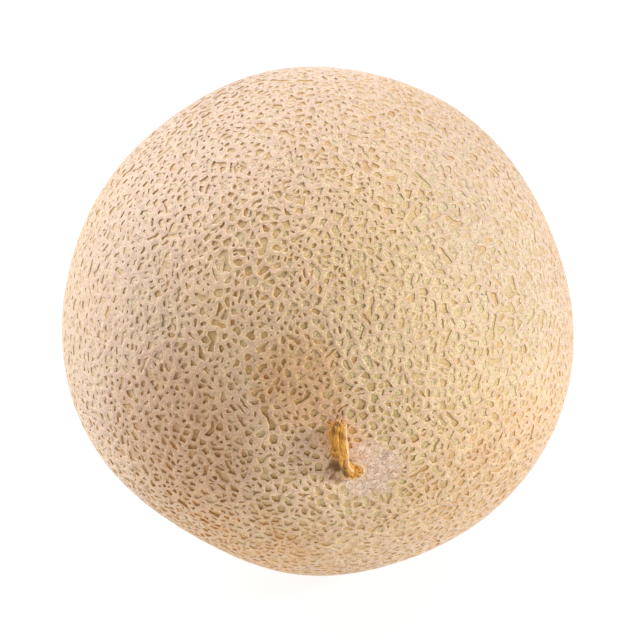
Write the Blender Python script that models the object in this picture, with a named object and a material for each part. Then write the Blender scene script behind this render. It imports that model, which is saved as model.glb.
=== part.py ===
"""Cantaloupe melon: one round netted fruit lying on its side, with the dried stub of its stem.

Run with: blender --background --python part.py
Metres, +Z up. The fruit's axis lies along Y, with the stem end towards -Y and the blossom end towards +Y.
The fruit rests on a small flat spot, and the origin is the middle of the object's box, at that level.
"""

import math

import bmesh
import bpy
import numpy as np
from mathutils import Vector

MM = 0.001

# The fruit's skin, which is also the height of the net.
FRUIT_RADIUS = 74.7 * MM
STRETCH = 0.030  # how much longer than round the fruit is, from stem to blossom
LOBES = (  # (waves round the axis, height, angle of the first crest from +X towards +Z)
    (2, 0.93 * MM, -19.0),
    (3, 0.79 * MM, -43.5),
    (4, 0.49 * MM, -5.0),
    (5, 0.51 * MM, -24.0),
    (6, 0.20 * MM, 26.0),
    (7, 0.30 * MM, -3.0),
)
STEM_DIMPLE = (1.6 * MM, 10.0 * MM)  # (depth, spread) of the hollow round the stem
BLOSSOM_DIMPLE = (1.5 * MM, 9.0 * MM)
FLAT_SPOT_RADIUS = 13.0 * MM

# The raised net: a cell is one bare pit with the ridge round it.
CELLS = 735
CELL_JITTER = 0.21  # random shift of a cell, as a share of the cells' spacing
RIDGE_HALF_WIDTH = 1.8 * MM
PIT_DEPTH = 1.3 * MM
STEEPEST_RIDGE = 0.8  # largest fall of a ridge's side, for each unit of its width
SHORTEST_RIDGE = 1.1 * MM
PIT_SHARES = (0.35, 0.72)  # smallest and largest pit floor, as a share of its cell
SEED = 5

# Where the pits fade out: (direction, no pits within, full depth beyond)
BARE_PLACES = (
    (Vector((0, -1, 0)), 6.5 * MM, 15.0 * MM),  # corky scar round the stem
    (Vector((0, 1, 0)), 4.0 * MM, 10.0 * MM),  # blossom scar
    (Vector((0, 0, -1)), FLAT_SPOT_RADIUS + 3.0 * MM, FLAT_SPOT_RADIUS + 12.0 * MM),
)

# The stem's stub, from its flared foot to its broken end: (to the side, above the skin, up the skin).
STEM_ROUTE = (
    (0.0 * MM, -1.5 * MM, 0.0 * MM),
    (0.0 * MM, 0.8 * MM, 0.2 * MM),
    (-1.4 * MM, 2.2 * MM, 1.6 * MM),
    (-2.8 * MM, 3.2 * MM, 4.2 * MM),
    (-3.6 * MM, 3.6 * MM, 8.6 * MM),
    (-4.0 * MM, 3.4 * MM, 13.0 * MM),
    (-4.3 * MM, 3.1 * MM, 18.0 * MM),
)
STEM_RADII = (4.2 * MM, 3.7 * MM, 2.3 * MM, 2.0 * MM, 2.5 * MM, 2.7 * MM, 2.5 * MM)
STEM_RINGS = 30
STEM_FLUTES = 5
FLUTE_POINTS = 4  # points of the section for each flute
FLUTE_DEPTH = 0.22  # as a share of the stem's radius
STEM_TWIST = math.radians(75)
SEAT_GAP = 0.35 * MM  # between the stem's foot and the skin
CREASE_ANGLE = 50  # degrees, above which an edge is shaded as a crease

# How near to each other two points have to be to count as one.
WELD_DISTANCE = 0.01 * MM
CUT_PRECISION = 0.0001 * MM


def empty_scene():
    """Removes whatever the open file holds."""
    for obj in list(bpy.data.objects):
        bpy.data.objects.remove(obj)


def add_collection(name):
    """A new collection in the scene."""
    collection = bpy.data.collections.new(name)
    bpy.context.scene.collection.children.link(collection)
    return collection


def add_material(name, colour, roughness):
    """A plain Principled material."""
    material = bpy.data.materials.new(name)
    material.use_nodes = True
    shader = material.node_tree.nodes["Principled BSDF"]
    shader.inputs["Base Color"].default_value = (*colour, 1.0)
    shader.inputs["Roughness"].default_value = roughness
    shader.inputs["Metallic"].default_value = 0.0
    return material


def dimple(distance, depth, spread):
    """A round hollow whose depth falls off as a bell curve."""
    return depth * math.exp(-((distance / spread) ** 2))


def skin_radius(direction):
    """How far the skin is from the fruit's centre, in a unit direction.

    A sphere, slightly stretched along Y. Soft lobes round Y die out at both ends, where there are dimples.
    """
    along = direction.y
    around = math.atan2(direction.z, direction.x)
    radius = FRUIT_RADIUS * (1 + STRETCH * (along**2 - 1 / 3))
    for waves, height, first in LOBES:
        radius += (1 - along**2) * height * math.cos(waves * (around - math.radians(first)))
    for end, (depth, spread) in ((-1, STEM_DIMPLE), (1, BLOSSOM_DIMPLE)):
        from_end = FRUIT_RADIUS * math.acos(max(-1.0, min(1.0, along * end)))
        radius -= dimple(from_end, depth, spread)
    return radius


def pit_depth(direction):
    """Depth of a pit's floor under the net: full over most of the fruit, and none on the bare places."""
    depth = PIT_DEPTH
    for middle, bare, full in BARE_PLACES:
        distance = FRUIT_RADIUS * direction.angle(middle)
        share = max(0.0, min(1.0, (distance - bare) / (full - bare)))
        depth *= share * share * (3 - 2 * share)
    return depth


def on_skin(point, sunk=0.0):
    """The point moved in or out, along the line to the centre, to lie that far under the skin."""
    direction = point.normalized()
    return direction * (skin_radius(direction) - sunk)


def cell_centres():
    """Cell centres on a ball: an even golden-angle spiral round Y, each shifted a little at random."""
    random = np.random.default_rng(SEED)
    steps = np.arange(CELLS) + 0.5
    along = 1 - 2 * steps / CELLS
    turn = steps * math.pi * (3 - math.sqrt(5))
    across = np.sqrt(1 - along**2)
    points = np.stack([across * np.cos(turn), along, across * np.sin(turn)], axis=1)
    spacing = math.sqrt(4 * math.pi / CELLS)
    points += random.normal(0, CELL_JITTER * spacing, points.shape)
    return FRUIT_RADIUS * points / np.linalg.norm(points, axis=1)[:, None]


def ball_of_triangles(name, collection):
    """The cell centres joined into a closed ball of triangles."""
    shape = bmesh.new()
    for centre in cell_centres():
        shape.verts.new(centre)
    bmesh.ops.convex_hull(shape, input=shape.verts)
    bmesh.ops.recalc_face_normals(shape, faces=shape.faces)
    mesh = bpy.data.meshes.new(name)
    shape.to_mesh(mesh)
    shape.free()
    obj = bpy.data.objects.new(name, mesh)
    collection.objects.link(obj)
    return obj


def add_dual_mesh(obj):
    """Turns every point of the mesh into a cell, and every triangle into a corner where cells meet."""
    tree = bpy.data.node_groups.new("cells_round_points", "GeometryNodeTree")
    for way in ("INPUT", "OUTPUT"):
        tree.interface.new_socket("Geometry", in_out=way, socket_type="NodeSocketGeometry")
    start = tree.nodes.new("NodeGroupInput")
    dual = tree.nodes.new("GeometryNodeDualMesh")
    end = tree.nodes.new("NodeGroupOutput")
    tree.links.new(start.outputs["Geometry"], dual.inputs["Mesh"])
    tree.links.new(dual.outputs["Dual Mesh"], end.inputs["Geometry"])
    obj.modifiers.new("cells", "NODES").node_group = tree


def evaluated_shape(obj):
    """A bmesh of the object with its modifiers applied."""
    bpy.context.view_layer.update()
    shape = bmesh.new()
    shape.from_object(obj, bpy.context.evaluated_depsgraph_get())
    return shape


def sink_pit(cell):
    """Shrinks a cell's inner copy by the ridge's width, and sinks it to make the pit's floor."""
    middle = cell.calc_center_median()
    reach = min((sum((v.co for v in edge.verts), Vector()) / 2 - middle).length for edge in cell.edges)
    share = max(PIT_SHARES[0], min(PIT_SHARES[1], 1 - RIDGE_HALF_WIDTH / reach))
    deepest = STEEPEST_RIDGE * (1 - share) * reach
    for corner in cell.verts:
        place = middle + (corner.co - middle) * share
        corner.co = on_skin(place, min(deepest, pit_depth(place.normalized())))


def cut_flat_spot(shape):
    """Cuts the underside off along a level plane, and closes it with one flat face."""
    lowest = skin_radius(Vector((0, 0, -1)))
    level = -math.sqrt(lowest**2 - FLAT_SPOT_RADIUS**2)
    cut = bmesh.ops.bisect_plane(
        shape,
        geom=[*shape.verts, *shape.edges, *shape.faces],
        dist=CUT_PRECISION,
        plane_co=(0, 0, level),
        plane_no=(0, 0, -1),
        clear_outer=True,
    )
    rim = [item for item in cut["geom_cut"] if isinstance(item, bmesh.types.BMEdge)]
    bmesh.ops.contextual_create(shape, geom=rim)


def make_melon(collection, helpers, material):
    """The whole fruit: a solid with a raised net of ridges, and a sunk floor in each of its cells."""
    ball = ball_of_triangles("cell_centres", helpers)
    add_dual_mesh(ball)
    shape = evaluated_shape(ball)
    bpy.data.objects.remove(ball)
    bmesh.ops.remove_doubles(shape, verts=shape.verts, dist=SHORTEST_RIDGE)
    for corner in shape.verts:
        corner.co = on_skin(corner.co)
    cells = list(shape.faces)
    bmesh.ops.inset_individual(shape, faces=cells, thickness=0.0, depth=0.0)
    for cell in cells:
        sink_pit(cell)
    cut_flat_spot(shape)
    resting_face = min(shape.faces, key=lambda face: face.calc_center_median().z)
    floors = [face for face in shape.faces if len(face.verts) > 4 and face is not resting_face]
    bmesh.ops.triangulate(shape, faces=floors)
    bmesh.ops.recalc_face_normals(shape, faces=shape.faces)
    mesh = bpy.data.meshes.new("melon")
    shape.to_mesh(mesh)
    shape.free()
    mesh.materials.append(material)
    melon = bpy.data.objects.new("melon", mesh)
    collection.objects.link(melon)
    return melon


def smooth_route(stops, count):
    """Points at even steps along a smooth curve through the stops, and the step of each in stops.

    Each stretch is a Catmull-Rom cubic: its slope at a stop is parallel to the line between the neighbours.
    """
    stops = np.array(stops, float)
    padded = np.vstack([2 * stops[0] - stops[1], stops, 2 * stops[-1] - stops[-2]])
    places = np.linspace(0, len(stops) - 1, count)
    first = np.minimum(places.astype(int), len(stops) - 2)
    t = (places - first)[:, None]
    a, b, c, d = (padded[first + k] for k in range(4))
    square = (2 * a - 5 * b + 4 * c - d) * t**2
    cube = (3 * b - 3 * c + d - a) * t**3
    return (2 * b + (c - a) * t + square + cube) / 2, places


def stem_section(helpers):
    """The fluted outline of the stem, one unit in radius, as a closed curve."""
    curve = bpy.data.curves.new("stem_section", "CURVE")
    curve.dimensions = "2D"
    count = STEM_FLUTES * FLUTE_POINTS
    spline = curve.splines.new("POLY")
    spline.points.add(count - 1)
    for i, point in enumerate(spline.points):
        angle = 2 * math.pi * i / count
        radius = 1 - FLUTE_DEPTH * (1 - math.cos(STEM_FLUTES * angle)) / 2
        point.co = (radius * math.cos(angle), radius * math.sin(angle), 0, 1)
    spline.use_cyclic_u = True
    section = bpy.data.objects.new("stem_section", curve)
    helpers.objects.link(section)
    section.hide_render = True
    section.display_type = "WIRE"
    return section


def stem_points():
    """The stem's centreline. A place is to the side (X), up the skin (Z), and out from the skin."""
    route, places = smooth_route(STEM_ROUTE, STEM_RINGS)
    points = []
    for side, height, up in route:
        foot = on_skin(Vector((side, -math.sqrt(FRUIT_RADIUS**2 - side**2 - up**2), up)))
        points.append(foot * (1 + height / foot.length))
    return points, places


def as_welded_mesh(obj, collection):
    """A mesh object of the curve, with its caps joined to its sides, in the curve's place."""
    bpy.context.view_layer.update()
    graph = bpy.context.evaluated_depsgraph_get()
    mesh = bpy.data.meshes.new_from_object(obj.evaluated_get(graph))
    shape = bmesh.new()
    shape.from_mesh(mesh)
    bmesh.ops.remove_doubles(shape, verts=shape.verts, dist=WELD_DISTANCE)
    bmesh.ops.recalc_face_normals(shape, faces=shape.faces)
    shape.to_mesh(mesh)
    shape.free()
    made = bpy.data.objects.new(obj.name, mesh)
    made.matrix_world = obj.matrix_world
    collection.objects.link(made)
    return made


def swollen_copy(melon, helpers):
    """The fruit made larger by the seat's gap all round, to trim the stem's foot to the skin."""
    cutter = melon.copy()
    cutter.data = melon.data.copy()
    cutter.name = "seat_cutter"
    for vertex in cutter.data.vertices:
        vertex.co *= 1 + SEAT_GAP / vertex.co.length
    cutter.hide_render = True
    cutter.display_type = "WIRE"
    helpers.objects.link(cutter)
    return cutter


def make_stem(collection, helpers, material, melon):
    """The dried stub: a flared foot on the scar, a bend, and a fluted, twisted length along the skin."""
    curve = bpy.data.curves.new("stem_line", "CURVE")
    curve.dimensions = "3D"
    curve.bevel_mode = "OBJECT"
    curve.bevel_object = stem_section(helpers)
    curve.use_fill_caps = True
    curve.twist_mode = "MINIMUM"
    points, places = stem_points()
    radii = np.interp(places, range(len(STEM_RADII)), STEM_RADII)
    spline = curve.splines.new("POLY")
    spline.points.add(len(points) - 1)
    for i, point in enumerate(spline.points):
        point.co = (*points[i], 1)
        point.radius = radii[i]
        point.tilt = STEM_TWIST * i / len(points)
    line = bpy.data.objects.new("stem", curve)
    helpers.objects.link(line)
    line.name = "stem_line"
    stem = as_welded_mesh(line, collection)
    bpy.data.objects.remove(line)
    stem.name = "stem"
    stem.data.name = "stem"
    trim = stem.modifiers.new("seat", "BOOLEAN")
    trim.operation = "DIFFERENCE"
    trim.object = swollen_copy(melon, helpers)
    stem.data.materials.clear()
    stem.data.materials.append(material)
    return stem


def stand_on_origin(objects):
    """Moves the objects together so that the middle of their box stands on the origin."""
    holder = bpy.data.objects.new("melon_centre", None)
    bpy.context.scene.collection.objects.link(holder)
    bpy.context.view_layer.update()
    graph = bpy.context.evaluated_depsgraph_get()
    corners = np.array([v.co for obj in objects for v in obj.evaluated_get(graph).data.vertices])
    low = corners.min(axis=0)
    high = corners.max(axis=0)
    holder.location = (-(low[0] + high[0]) / 2, -(low[1] + high[1]) / 2, -low[2])
    for obj in objects:
        obj.parent = holder
    return holder


def shade(obj, degrees):
    """Smooth shading, with creases only where faces meet at more than the angle."""
    obj.data.shade_smooth()
    obj.data.set_sharp_from_angle(angle=math.radians(degrees))


def main():
    empty_scene()
    fruit = add_collection("cantaloupe_melon")
    helpers = add_collection("helpers")
    rind = add_material("rind", (0.74, 0.52, 0.32), 0.62)
    dry_stem = add_material("dry_stem", (0.55, 0.28, 0.09), 0.85)
    melon = make_melon(fruit, helpers, rind)
    stem = make_stem(fruit, helpers, dry_stem, melon)
    for obj in (melon, stem):
        shade(obj, CREASE_ANGLE)
    holder = stand_on_origin((melon, stem))
    for cutter in helpers.objects:
        cutter.parent = holder
    for obj in (melon, stem):
        triangles = sum(len(face.vertices) - 2 for face in obj.data.polygons)
        print(obj.name, "triangles before its modifiers:", triangles)


main()
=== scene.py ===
# %% [markdown]
# # A netted cantaloupe
#
# A whole cantaloupe lies on its side on a pale table. It is a round fruit whose skin is
# covered by a net of raised, pinkish, corky ribbons. Between them lie some thousands of
# small sunk pits, where the tan and olive skin shows. The dried stub of the stem still
# stands on its scar.
#
# The packed solids give the fruit's place and size. Every piece made here stands for one
# of them, keeps its form, and adds what is too fine for a solid.

# %% Start from the packed solids
import math

import bpy
import numpy as np
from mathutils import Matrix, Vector
from mathutils.geometry import delaunay_2d_cdt


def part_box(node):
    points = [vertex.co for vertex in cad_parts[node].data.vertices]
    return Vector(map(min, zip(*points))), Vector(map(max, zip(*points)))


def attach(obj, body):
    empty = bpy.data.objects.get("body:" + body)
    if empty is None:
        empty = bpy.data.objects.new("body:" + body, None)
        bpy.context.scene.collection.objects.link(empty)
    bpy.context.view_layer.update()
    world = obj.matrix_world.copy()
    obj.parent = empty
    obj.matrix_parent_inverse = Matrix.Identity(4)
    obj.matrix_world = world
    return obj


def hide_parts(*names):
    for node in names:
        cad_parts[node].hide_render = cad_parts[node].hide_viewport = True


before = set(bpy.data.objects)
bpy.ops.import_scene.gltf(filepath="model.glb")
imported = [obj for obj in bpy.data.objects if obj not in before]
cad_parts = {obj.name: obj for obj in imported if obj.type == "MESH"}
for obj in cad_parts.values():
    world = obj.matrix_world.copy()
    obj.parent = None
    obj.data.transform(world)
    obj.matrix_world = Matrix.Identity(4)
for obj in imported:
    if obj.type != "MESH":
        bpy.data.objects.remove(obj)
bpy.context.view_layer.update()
MM = 0.001

# %% [markdown]
# ## The fruit's form
#
# A melon is nearly a ball, but never quite: it is a little longer than wide, it has soft
# lobes where its segments swell, and it is drawn in at the stem and at the blossom end.
# A formula for its radius says all of that with a dozen numbers, and it can be asked for
# the skin's height at any place, which a sculpted mesh can't. Everything that lies on the
# fruit below asks this one formula.

# %% A radius for every direction
FRUIT_RADIUS = 74.7 * MM
STRETCH = 0.030
LOBES = (  # (waves round the axis, height, angle of the first crest from +X towards +Z)
    (2, 0.93 * MM, -19.0),
    (3, 0.79 * MM, -43.5),
    (4, 0.49 * MM, -5.0),
    (5, 0.51 * MM, -24.0),
    (6, 0.20 * MM, 26.0),
    (7, 0.30 * MM, -3.0),
)
STEM_END = np.array([0.0, -1.0, 0.0])
BLOSSOM_END = np.array([0.0, 1.0, 0.0])
GROUND = np.array([0.0, 0.0, -1.0])
DIMPLES = (  # (place, depth, spread)
    (STEM_END, 1.6 * MM, 10.0 * MM),
    (BLOSSOM_END, 1.5 * MM, 9.0 * MM),
)


def unit(vectors):
    """Each vector divided by its length."""
    return vectors / np.linalg.norm(vectors, axis=-1, keepdims=True)


def arc_to(directions, place):
    """Distance over the skin to a place: the angle between the two, times the radius."""
    return FRUIT_RADIUS * np.arccos(np.clip(directions @ place, -1, 1))


def skin_radius(directions):
    """Distance from the fruit's centre to its skin.

    R * (1 + stretch * (y^2 - 1/3)) makes the long ball. height * cos(waves * angle) *
    (1 - y^2) adds each lobe and lets it die out at both ends. For each dimple,
    depth * exp(-(distance / spread)^2) is taken off.
    """
    along = directions[..., 1]
    around = np.arctan2(directions[..., 2], directions[..., 0])
    radius = FRUIT_RADIUS * (1 + STRETCH * (along**2 - 1 / 3))
    for waves_round, height, first in LOBES:
        wave = np.cos(waves_round * (around - math.radians(first)))
        radius = radius + (1 - along**2) * height * wave
    for place, depth, spread in DIMPLES:
        radius = radius - depth * np.exp(-((arc_to(directions, place) / spread) ** 2))
    return radius


ends = skin_radius(np.array([STEM_END, BLOSSOM_END, GROUND]))
print("radius at the stem, at the blossom end and below, mm:", (ends / MM).round(2))

# %% [markdown]
# ## Where the fruit is
#
# The formula gives the form round its own centre. The packed solid has the same form, so
# the middle of one box is laid on the middle of the other. In height the flat spot that
# the fruit rests on says more than a box does: a ball of that radius, cut by the table to
# a disc of that size, has its centre at sqrt(radius^2 - disc^2).

# %% The fruit's centre
PROBES = 20000
FLAT_SPOT_RADIUS = 13.0 * MM


def spiral_directions(count):
    """Evenly spread unit vectors.

    Heights y step evenly from 1 to -1, and each turns by the golden angle from the last.
    """
    steps = np.arange(count) + 0.5
    along = 1 - 2 * steps / count
    turn = steps * math.pi * (3 - math.sqrt(5))
    across = np.sqrt(1 - along**2)
    return np.stack([across * np.cos(turn), along, across * np.sin(turn)], axis=1)


def fruit_centre():
    """The middle of the formula's box on the middle of the solid's box, at the spot's height."""
    probe = spiral_directions(PROBES)
    skin = probe * skin_radius(probe)[:, None]
    low, high = (np.array(corner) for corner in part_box("melon"))
    middle = (low + high - skin.min(axis=0) - skin.max(axis=0)) / 2
    lowest = skin_radius(GROUND[None])[0]
    middle[2] = low[2] + math.sqrt(lowest**2 - FLAT_SPOT_RADIUS**2)
    return middle


CENTRE = fruit_centre()
print("centre of the fruit, mm:", (CENTRE / MM).round(2))

# %% [markdown]
# ## Camera
#
# The fruit is seen from above its stem end, from about a metre away with a long lens. A
# near camera would make the stem end bulge; from this far, the outline is almost the one
# that a far observer would see.

# %% Add the camera
VIEW_AZIMUTH = math.radians(-6.3)
VIEW_ELEVATION = math.radians(33.5)
VIEW_DISTANCE = 1.1
VIEW_WIDTH = 188.2 * MM
VIEW_SHIFT = (0.19 * MM, 0.31 * MM)
NEAREST_SEEN = 0.05


def way_out(azimuth, elevation):
    """The unit vector from the fruit to a place at these angles, from -Y towards +X and up."""
    flat = math.cos(elevation)
    return Vector((math.sin(azimuth) * flat, -math.cos(azimuth) * flat, math.sin(elevation)))


def add_camera():
    """A camera that looks at the centre, with the lens that makes the view that wide there."""
    data = bpy.data.cameras.new("view")
    camera = bpy.data.objects.new("view", data)
    bpy.context.scene.collection.objects.link(camera)
    back = way_out(VIEW_AZIMUTH, VIEW_ELEVATION)
    turn = (-back).to_track_quat("-Z", "Y")
    right, up = turn @ Vector((1, 0, 0)), turn @ Vector((0, 1, 0))
    shift = right * VIEW_SHIFT[0] + up * VIEW_SHIFT[1]
    camera.location = Vector(CENTRE) + back * VIEW_DISTANCE + shift
    camera.rotation_euler = turn.to_euler()
    data.lens = data.sensor_width * VIEW_DISTANCE / VIEW_WIDTH
    data.clip_start = NEAREST_SEEN
    bpy.context.scene.camera = camera
    return camera


camera = add_camera()
print("lens, mm:", round(camera.data.lens, 1))

# %% [markdown]
# ## Shader maths as plain expressions
#
# A pattern is easier to read as `ridges * 0.5 + grain` than as a dozen linked nodes. The
# first class below wraps a node's socket, so that an expression on such values adds the
# nodes that work it out. The second builds up a material: one method adds any node, and
# the others are the few patterns that the rind and the stem need.


# %% A value in a shader
class Value:
    """A number, colour or vector that a shader works out."""

    def __init__(self, material, socket):
        self.material = material
        self.socket = socket

    def maths(self, operation, *others):
        """One Math node on this value and the others."""
        return self.material.node("ShaderNodeMath", {"operation": operation}, (self, *others))

    def __add__(self, other):
        return self.maths("ADD", other)

    def __sub__(self, other):
        return self.maths("SUBTRACT", other)

    def __rsub__(self, other):
        return self.maths("MULTIPLY_ADD", -1.0, other)

    def __mul__(self, other):
        return self.maths("MULTIPLY", other)

    __radd__ = __add__
    __rmul__ = __mul__

    def step(self, start, end, low=0.0, high=1.0):
        """A soft step: low up to start, high from end on, and a smooth S between them."""
        settings = {"interpolation_type": "SMOOTHSTEP"}
        return self.material.node("ShaderNodeMapRange", settings, (self, start, end, low, high))


print("a value adds:", [name for name in vars(Value) if not name.startswith("__")])


# %% A material
class Material:
    """A Principled material that is built up by expressions."""

    def __init__(self, name, roughness, **uniform):
        self.data = bpy.data.materials.new(name)
        self.data.use_nodes = True
        self.nodes = self.data.node_tree.nodes
        self.links = self.data.node_tree.links
        self.shader = self.nodes["Principled BSDF"]
        self.set("Roughness", roughness)
        for socket, value in uniform.items():
            self.set(socket.replace("_", " "), value)

    def put(self, socket, value):
        """Links a value to a socket, or writes a plain number, colour or vector into it."""
        if isinstance(value, Value):
            self.links.new(value.socket, socket)
        elif hasattr(socket.default_value, "__len__") and len(socket.default_value) == 4:
            socket.default_value = (*value[:3], 1.0)
        else:
            socket.default_value = value

    def set(self, name, value):
        """Gives one of the shader's own sockets its value."""
        self.put(self.shader.inputs[name], value)

    def node(self, kind, settings=(), inputs=(), output=0):
        """Adds a node: its settings first, then its inputs in order, by number or by name."""
        made = self.nodes.new(kind)
        for name, setting in dict(settings).items():
            setattr(made, name, setting)
        named = inputs.items() if isinstance(inputs, dict) else enumerate(inputs)
        for place, value in named:
            self.put(made.inputs[place], value)
        return Value(self, made.outputs[output])

    def vector(self, operation, *inputs, output=0):
        """One Vector Math node."""
        return self.node("ShaderNodeVectorMath", {"operation": operation}, inputs, output)

    def places(self):
        """Position on the fruit, in metres from the frame's origin."""
        return self.node("ShaderNodeTexCoord", output="Object")

    def from_centre(self):
        """Unit vector from the fruit's centre."""
        return self.vector("NORMALIZE", self.vector("SUBTRACT", self.places(), tuple(CENTRE)))

    def towards(self, direction, place):
        """How nearly a unit vector points at a place: 1 there, 0 at right angles, -1 behind."""
        place = tuple(unit(np.array(place, float)))
        return self.vector("DOT_PRODUCT", direction, place, output="Value")

    def noise(self, size, detail=2.0, where=None, roughness=0.5, output=0):
        """Smooth noise round 0.5, with lumps of the given size in metres."""
        inputs = {"Vector": where or self.places(), "Scale": 1 / size}
        inputs |= {"Detail": detail, "Roughness": roughness}
        return self.node("ShaderNodeTexNoise", {}, inputs, output)

    def wobbled(self, size, reach):
        """Position on the fruit, pushed about by noise of that size by up to that reach."""
        where = self.places()
        push = self.vector("SUBTRACT", self.noise(size, where=where, output="Color"), (0.5,) * 3)
        return self.vector("MULTIPLY_ADD", push, (2 * reach,) * 3, where)

    def edges(self, size, where):
        """Distance to the nearest border of scattered cells, as a share of their size."""
        inputs = {"Vector": where, "Scale": 1 / size}
        return self.node("ShaderNodeTexVoronoi", {"feature": "DISTANCE_TO_EDGE"}, inputs)

    def attribute(self, name):
        """A number stored on the mesh's vertices."""
        return self.node("ShaderNodeAttribute", {"attribute_name": name}, output="Fac")

    def mix(self, share, first, second, blend="MIX"):
        """The first colour where the share is 0, and the second where it is 1."""
        settings = {"data_type": "RGBA", "blend_type": blend}
        return self.node("ShaderNodeMix", settings, {0: share, 6: first, 7: second}, 2)

    def multiplied(self, share, colour, by):
        """The colour multiplied by another one, where the share is 1."""
        return self.mix(share, colour, self.mix(1.0, colour, by, "MULTIPLY"))

    def bumps(self, *layers):
        """Bump nodes in a row, each a height and the metres that a height of 1 stands for."""
        normal = {}
        for height, distance in layers:
            inputs = {"Strength": 1.0, "Distance": distance, "Height": height, **normal}
            normal = {"Normal": self.node("ShaderNodeBump", {}, inputs)}
        self.set("Normal", normal["Normal"])


print("a material's patterns:", [name for name in vars(Material) if not name.startswith("__")])

# %% [markdown]
# ## The net
#
# As a cantaloupe grows, its skin cracks all over and cork heals the cracks. What is left of
# the first skin are small islands, sunk between ribbons of cork. Islands that share a
# crack meet it from both sides, so the pattern is that of a foam: cells round scattered
# points, each cell reaching half-way to its neighbours.
#
# A height painted on an even grid would need millions of faces to keep the pits' edges
# sharp. Here the mesh follows the pattern instead. The points go on a ball, the hull round
# them joins each point to its neighbours, and every face of that hull becomes a corner
# where cells meet. Each cell gets a ring of points, drawn in from its corners to leave the
# ribbon. A quad joins the rings of two neighbours across their shared side, and a triangle
# closes the gap where cells meet. Inside its ring, every pit has a steep wall and a domed
# floor.
#
# First come the points. A spiral spreads them evenly, and a small random shift makes the
# cells uneven, as cracks are.

# %% The hull round points on a ball
SIDEWAYS = [0.31, 0.27, 0.91]  # any way that no point lies, to measure angles from


def hull_of(directions):
    """The triangles of the hull round points on a ball, turned outwards, and its edges.

    Seen from the last point, the others are thrown onto a plane: x / (1 - z). Circles stay
    circles on the way, so flat Delaunay triangles there are the hull's triangles here. A
    fan round the last point closes the rest.
    """
    pole = directions[-1]
    side = unit(np.cross(pole, SIDEWAYS))
    up = np.cross(pole, side)
    rest = directions[:-1]
    flat = np.stack([rest @ side, rest @ up], axis=1) / (1 - rest @ pole)[:, None]
    inner = np.array(delaunay_2d_cdt([Vector(place) for place in flat], [], [], 0, 0.0)[2])
    ways = np.concatenate([inner[:, [0, 1]], inner[:, [1, 2]], inner[:, [2, 0]]])
    keys = ways[:, 0] * len(directions) + ways[:, 1]
    rim = ways[~np.isin(keys, ways[:, 1] * len(directions) + ways[:, 0])]
    fan = np.column_stack([rim, np.full(len(rim), len(rest))])[:, [1, 0, 2]]
    faces = np.concatenate([inner, fan])
    a, b, c = directions[faces].transpose(1, 0, 2)
    turned = (np.cross(b - a, c - a) * a).sum(axis=1) < 0
    faces[turned] = faces[turned][:, ::-1]
    return faces, np.unique(np.sort(np.concatenate([ways, fan[:, [0, 2]]]), axis=1), axis=0)


def relaxed(directions, edges, share):
    """Each point moved part of the way to the mean of its neighbours, and back onto the ball."""
    total = np.zeros_like(directions)
    number = np.zeros(len(directions))
    for one, other in (edges.T, edges.T[::-1]):
        np.add.at(total, one, directions[other])
        np.add.at(number, one, 1)
    mean = total / np.maximum(number, 1)[:, None]
    return unit(directions + share * (mean - directions))


print("faces of a hull round 100 points:", len(hull_of(spiral_directions(100))[0]))

# %% Places on the fruit, and scattered cells
SEED = 11
CELLS = 13000
CELL_JITTER = 0.48
CROWDED_SIZE = 0.76  # the size of cell that the spiral's own points would make
KEPT_SHARE = 0.92
EVENED_SHARE = 0.30

LEFT_FLANK = unit(np.array([-0.95, -0.20, 0.25]))
RIGHT_FLANK = unit(np.array([0.60, -0.50, 0.60]))
UPPER_MIDDLE = unit(np.array([-0.10, -0.72, 0.68]))
LOWER_LEFT = unit(np.array([-0.50, -0.85, -0.10]))
LOWER_FRONT = unit(np.array([-0.10, -0.88, -0.45]))
CELL_SIZE = 0.92, (  # the cells' size, as a share of the largest, and where it differs
    (UPPER_MIDDLE, -0.12, 28 * MM),
    (STEM_END, -0.04, 40 * MM),
    (GROUND, -0.08, 45 * MM),
)


def near(directions, place, reach):
    """How near directions are to a place: exp(-(distance / reach)^2), from 1 there to 0."""
    return np.exp(-((arc_to(directions, place) / reach) ** 2))


def regional(directions, level, changes):
    """A level that is the same all over, plus a change round each of some places."""
    for place, change, reach in changes:
        level = level + change * near(directions, place, reach)
    return level


def scattered(count, jitter, random):
    """A spiral of points, each shifted at random by a share of their spacing."""
    points = spiral_directions(count)
    return unit(points + random.normal(0, jitter * math.sqrt(4 * math.pi / count), points.shape))


def cell_points(random):
    """Scattered points, thinned at random where the pits are large, and evened out a little."""
    points = scattered(int(CELLS / CROWDED_SIZE), CELL_JITTER, random)
    crowding = (CROWDED_SIZE / regional(points, *CELL_SIZE)) ** 2
    points = points[random.random(len(points)) < crowding * KEPT_SHARE]
    return relaxed(points, hull_of(points)[1], EVENED_SHARE)


random = np.random.default_rng(SEED)
seeds = cell_points(random)
print("cells:", len(seeds))

# %% [markdown]
# Not every crack is healed by a whole ribbon. Where one is missing, two islands run
# together into a long pit. So some neighbouring cells are joined in pairs before the
# corners of each cell are put in order.

# %% Cells joined in pairs, and their corners put in order
JOINED_SHARE = 0.32


def joined_pairs(edges, count, random):
    """Some neighbouring points as pairs, none twice: edges that win a draw at both ends."""
    draw = random.random(len(edges))
    best = np.zeros(count)
    for end in edges.T:
        np.maximum.at(best, end, draw)
    first = (draw == best[edges[:, 0]]) & (draw == best[edges[:, 1]])
    return edges[first & (random.random(len(edges)) < JOINED_SHARE)]


def mean_by(labels, count, vectors, weight=1.0):
    """For each label, the unit vector along the weighted mean of its vectors."""
    total = np.zeros((count, 3))
    np.add.at(total, labels, vectors * weight)
    return unit(total)


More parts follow.
